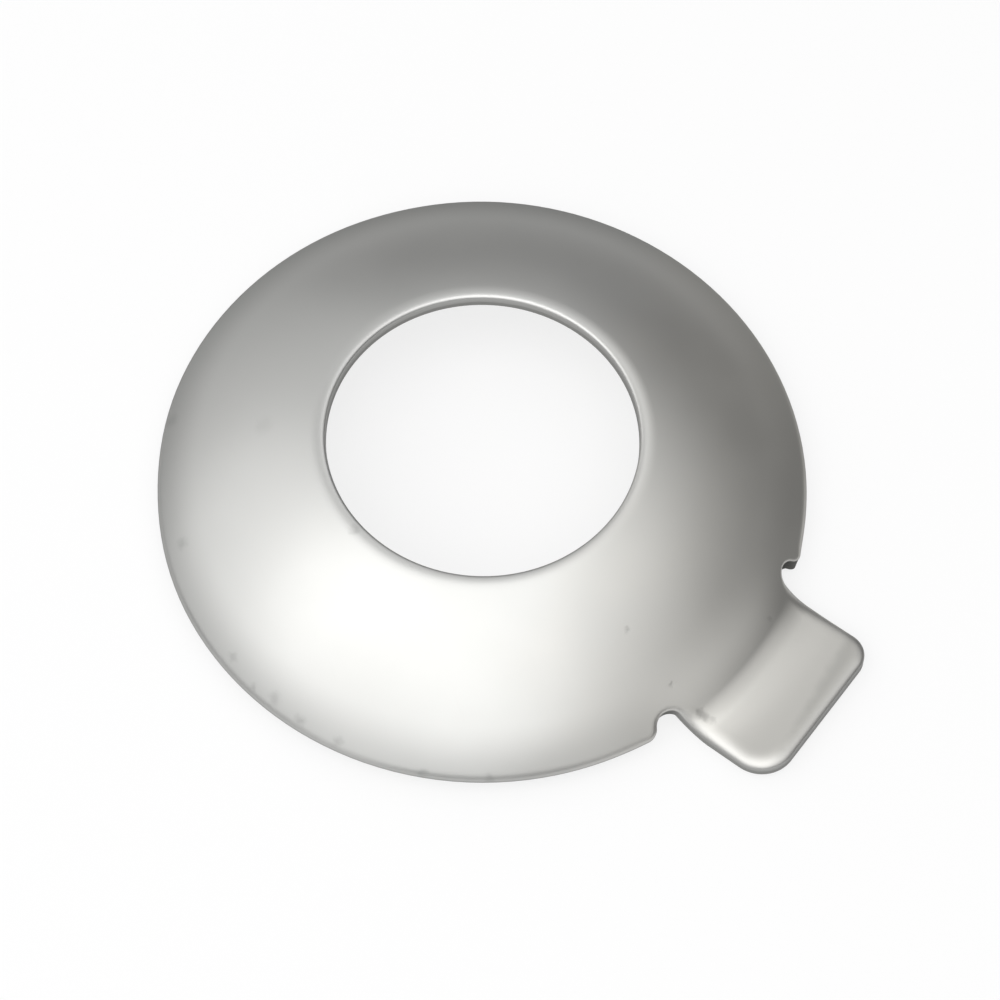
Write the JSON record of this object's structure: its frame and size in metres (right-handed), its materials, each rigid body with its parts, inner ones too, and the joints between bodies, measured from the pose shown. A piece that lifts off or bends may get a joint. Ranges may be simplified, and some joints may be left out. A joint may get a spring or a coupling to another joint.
{
  "type": "thrust washer",
  "caption": "Domed steel thrust washer with a large central bore, a bent locating tab on its rim and a relief notch on each side of the tab.",
  "frame": {"origin": "on the axis of the bore, half way up its straight wall", "axes": "+Z along the bore towards the convex face, +X towards the tab"},
  "size_m": [0.0678, 0.0596, 0.0097],
  "materials": {
    "steel": "satin"
  },
  "bodies": {
    "root": {"thrust_washer": "steel"}
  },
  "joints": []
}
